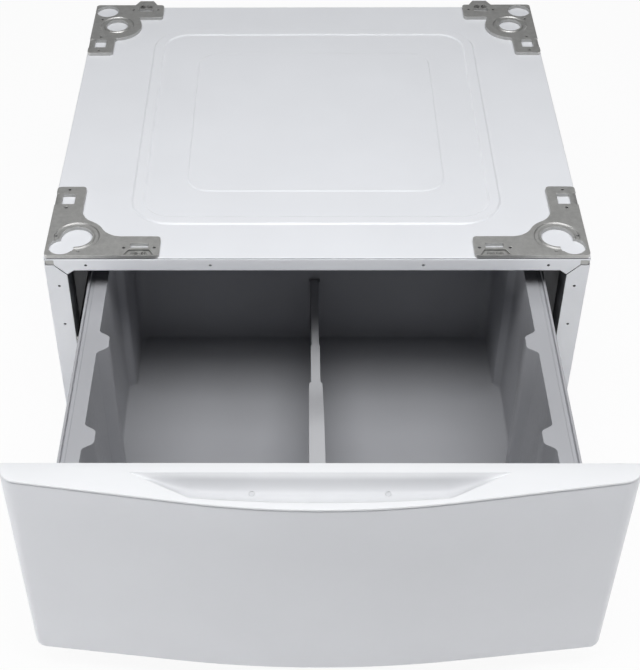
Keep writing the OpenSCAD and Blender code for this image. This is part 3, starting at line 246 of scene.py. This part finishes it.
def zinc_plate():
    """Zinc plated sheet with a fine spangle."""
    s = Shader("zinc_plate", (0.505, 0.505, 0.495), rough=0.48, metallic=0.85)
    s.tint(s.noise(160.0, detail=4.0, rough=0.6), spread=0.08)
    s.rough_by(s.noise(240.0, detail=4.0), low=0.42, high=0.56)
    s.soft_edges(0.0006)
    return s.bump(s.noise(900.0), distance=0.00003).material


def threaded_zinc(pitch):
    """Zinc with a ring of thread at every pitch of height."""
    s = Shader("threaded_zinc", (0.50, 0.496, 0.475), rough=0.38, metallic=0.9)
    s.tint(s.noise(200.0), spread=0.08)
    s.rough_by(s.noise(260.0), low=0.34, high=0.5)
    turns = s.math("MULTIPLY", s.axis(Z), 2 * math.pi / pitch)
    return s.bump(s.math("SINE", turns, 0.0), distance=THREAD_BUMP).material


def bright_steel():
    """Bright rolled steel with fine lines along Y."""
    s = Shader("bright_steel", (0.60, 0.60, 0.59), rough=0.28, metallic=1.0)
    along = (1.0, 0.03, 1.0)
    s.tint(s.noise(120.0, stretch=(1.0, 0.04, 1.0)), spread=0.08)
    s.rough_by(s.noise(300.0, stretch=along), low=0.22, high=0.36)
    return s.bump(s.noise(1200.0, detail=2.0, stretch=along), distance=0.00002).material


def rubber():
    """Matt black rubber of the feet."""
    s = Shader("foot_rubber", (0.03, 0.03, 0.033), rough=0.7)
    s.tint(s.noise(200.0), spread=0.2)
    s.rough_by(s.noise(300.0), low=0.62, high=0.8)
    return s.bump(s.noise(1400.0), distance=0.00008).material


# The box whose sides run in the thickness of the cabinet's sheets, open below: painted shade inside
# it
SHEET = 0.0006
BELOW_ALL = -1.0
cabinet_low, cabinet_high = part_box("top_panel")
inner_low = (cabinet_low[X] + SHEET, cabinet_low[Y] + SHEET, BELOW_ALL)
inner_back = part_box("back_panel")[0][Y] + SHEET / 2
inner_high = (cabinet_high[X] - SHEET, inner_back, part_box("side_panel_left")[1][Z] + SHEET)

cap_rear, cap_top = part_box("front_top_cap")[1][Y:]
materials = {
    # The drawer front's enamel holds part of its face's shade painted into its colour
    "white_enamel": enamel("front_enamel", FRONT_SHADED_WHITE, edge=0.0012).material,
    "white_plastic": cap_plastic(
        cap_top - SCOOP_SHADE_DEPTHS[1],
        cap_top - SCOOP_SHADE_DEPTHS[0],
        cap_rear - SCOOP_SHADE_REACH[0],
        cap_rear - SCOOP_SHADE_REACH[1],
    ),
    "grey_plastic": moulded("grey_tub", (0.40, 0.406, 0.43), rough=0.40, grain=0.00005),
    "divider_plastic": moulded("grey_divider", (0.50, 0.505, 0.525), rough=0.42, grain=0.00004),
    "plug_plastic": moulded("grey_plug", (0.60, 0.61, 0.63), rough=0.5, grain=0.00003),
    "zinc_steel": zinc_plate(),
    "bright_steel": bright_steel(),
    "black_rubber": rubber(),
}

# ---------------------------------------------------------------- CAD nodes

WELD_DISTANCE = 0.00001
SMOOTH_DEGREES = 32
# The top's pressed beads bend less than the mouldings, so only finer bends are smoothed there
SHEET_SMOOTH_DEGREES = 14


def smooth_group(angle):
    """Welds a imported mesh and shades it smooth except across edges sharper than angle."""
    tree = bpy.data.node_groups.new("weld_and_smooth", "GeometryNodeTree")
    tree.interface.new_socket("Geometry", in_out="INPUT", socket_type="NodeSocketGeometry")
    tree.interface.new_socket("Geometry", in_out="OUTPUT", socket_type="NodeSocketGeometry")
    add = tree.nodes.new
    start, end = add("NodeGroupInput"), add("NodeGroupOutput")
    merge = add("GeometryNodeMergeByDistance")
    merge.inputs["Distance"].default_value = WELD_DISTANCE
    edge = add("GeometryNodeInputMeshEdgeAngle")
    compare = add("FunctionNodeCompare")
    compare.data_type = "FLOAT"
    compare.operation = "LESS_THAN"
    compare.inputs["B"].default_value = angle
    faces, edges = add("GeometryNodeSetShadeSmooth"), add("GeometryNodeSetShadeSmooth")
    edges.domain = "EDGE"
    tree.links.new(start.outputs[0], merge.inputs["Geometry"])
    tree.links.new(merge.outputs["Geometry"], faces.inputs["Geometry"])
    tree.links.new(faces.outputs["Geometry"], edges.inputs["Geometry"])
    tree.links.new(edge.outputs["Unsigned Angle"], compare.inputs["A"])
    tree.links.new(compare.outputs["Result"], edges.inputs["Shade Smooth"])
    tree.links.new(edges.outputs["Geometry"], end.inputs[0])
    return tree


smooth_tree = smooth_group(math.radians(SMOOTH_DEGREES))
sheet_tree = smooth_group(math.radians(SHEET_SMOOTH_DEGREES))
slot_of = {row["node"]: row["material_slot"] for row in frame["record"]["subparts"]}
cabinet_paint = enamel_with_painted_inside_shade(inner_low, inner_high)
sheets = ("top_panel", "side_panel_left", "side_panel_right", "back_panel")
studs = [name for name in nodes if name.startswith("foot_stud")]
paint_of = dict.fromkeys(sheets, cabinet_paint)
paint_of.update(dict.fromkeys(studs, threaded_zinc(THREAD_PITCH)))
for name, node in nodes.items():
    node.data.materials.clear()
    node.data.materials.append(paint_of.get(name, materials[slot_of[name]]))
    modifier = node.modifiers.new("smooth", "NODES")
    modifier.node_group = sheet_tree if name == "top_panel" else smooth_tree

# ---------------------------------------------------------------- stage, light and camera

PAPER_WHITE = (0.90, 0.90, 0.91)
FLOOR_SIZE = 14.0
# Share of plain white in what the camera and mirrors see of the floor; the rest shows the shadow
FLOOR_WHITE = 0.93
SKY_COLOR, SKY_STRENGTH = (0.97, 0.985, 1.0), 0.08

# Name, place, point it faces, width and height, watts
LAMPS = (
    ("top_wide", (0, -0.9, 2.4), (0, -0.75, 0), (2.4, 1.4), 31.4),
    ("top_narrow", (0, -1.0, 2.4), (0, -0.95, 0), (2.4, 0.7), 20.2),
    ("top_rear", (0, 0.9, 2.3), (0, 0, 0.3), (2.4, 1.0), 7.5),
    ("left_low", (-2.6, -1.6, 0.35), (0, -0.5, 0.2), (1.2, 0.6), 28.2),
    ("right_low", (2.6, -1.6, 0.35), (0, -0.5, 0.2), (1.2, 0.6), 18.4),
    ("back_low", (0, 2.8, 0.5), (0, 0.3, 0.2), (2.4, 0.8), 10.0),
)

# The photo's camera, solved from the corners of the cabinet, drawer front, tub and plates. The
# focal length and the shifts of the picture's centre are in pixels of the photo, which is 670 high.
PHOTO_HEIGHT = 670
FOCAL_PIXELS = 1386.9
SHIFT_PIXELS = (30.86, -3.23)
SENSOR = 36.0
CAMERA_PLACE = (-0.02236, -1.6622, 1.46031)
CAMERA_DEGREES = (47.744, 0.273, 0.300)


def plane(name, size, location):
    """A square sheet, size metres wide."""
    mesh = bpy.data.meshes.new(name)
    h = size / 2
    mesh.from_pydata([(-h, -h, 0), (h, -h, 0), (h, h, 0), (-h, h, 0)], [], [(0, 1, 2, 3)])
    obj = bpy.data.objects.new(name, mesh)
    obj.location = location
    bpy.context.scene.collection.objects.link(obj)
    return obj


def white_for_camera(tree, shader, share):
    """Mixes white emission into what the camera and mirrors see."""
    light = tree.nodes.new("ShaderNodeEmission")
    light.inputs["Color"].default_value = (1, 1, 1, 1)
    path = tree.nodes.new("ShaderNodeLightPath")
    either = tree.nodes.new("ShaderNodeMath")
    either.operation = "MAXIMUM"
    tree.links.new(path.outputs["Is Camera Ray"], either.inputs[0])
    tree.links.new(path.outputs["Is Glossy Ray"], either.inputs[1])
    part = tree.nodes.new("ShaderNodeMath")
    part.operation = "MULTIPLY"
    part.inputs[1].default_value = share
    tree.links.new(either.outputs[0], part.inputs[0])
    mix = tree.nodes.new("ShaderNodeMixShader")
    tree.links.new(part.outputs[0], mix.inputs["Fac"])
    tree.links.new(shader, mix.inputs[1])
    tree.links.new(light.outputs[0], mix.inputs[2])
    return mix.outputs[0]


floor = plane("studio_floor", FLOOR_SIZE, (0, 0, 0))
paper = bpy.data.materials.new("studio_paper")
paper.use_nodes = True
paper_bsdf = paper.node_tree.nodes["Principled BSDF"]
paper_bsdf.inputs["Base Color"].default_value = (*PAPER_WHITE, 1)
paper_bsdf.inputs["Roughness"].default_value = 0.9
paper.node_tree.links.new(
    white_for_camera(paper.node_tree, paper_bsdf.outputs[0], FLOOR_WHITE),
    paper.node_tree.nodes["Material Output"].inputs["Surface"],
)
floor.data.materials.append(paper)

scene = bpy.context.scene
world = bpy.data.worlds.new("studio")
scene.world = world
world.use_nodes = True
sky = world.node_tree
background = sky.nodes["Background"]
background.inputs["Color"].default_value = (*SKY_COLOR, 1)
background.inputs["Strength"].default_value = SKY_STRENGTH
# The camera sees plain white behind the floor
white = sky.nodes.new("ShaderNodeBackground")
white.inputs["Color"].default_value = (1, 1, 1, 1)
white.inputs["Strength"].default_value = 1.0
rays = sky.nodes.new("ShaderNodeLightPath")
blend = sky.nodes.new("ShaderNodeMixShader")
sky.links.new(rays.outputs["Is Camera Ray"], blend.inputs["Fac"])
sky.links.new(background.outputs[0], blend.inputs[1])
sky.links.new(white.outputs[0], blend.inputs[2])
sky.links.new(blend.outputs[0], sky.nodes["World Output"].inputs["Surface"])


def softbox(name, location, target, size, power):
    """A white rectangular lamp of power watts that faces target."""
    data = bpy.data.lights.new(name, "AREA")
    data.shape = "RECTANGLE"
    data.size, data.size_y = size
    data.energy = power
    lamp = bpy.data.objects.new(name, data)
    lamp.location = location
    lamp.rotation_euler = (Vector(target) - Vector(location)).to_track_quat("-Z", "Y").to_euler()
    scene.collection.objects.link(lamp)


for lamp in LAMPS:
    softbox(*lamp)

camera_data = bpy.data.cameras.new("photo_camera")
camera_data.sensor_width = SENSOR
camera_data.lens = SENSOR * FOCAL_PIXELS / PHOTO_HEIGHT
camera_data.shift_x, camera_data.shift_y = (pixels / PHOTO_HEIGHT for pixels in SHIFT_PIXELS)
camera_data.clip_end = 50
camera = bpy.data.objects.new("photo_camera", camera_data)
camera.location = CAMERA_PLACE
camera.rotation_euler = [math.radians(angle) for angle in CAMERA_DEGREES]
scene.collection.objects.link(camera)
scene.camera = camera

scene.view_settings.view_transform = "Standard"
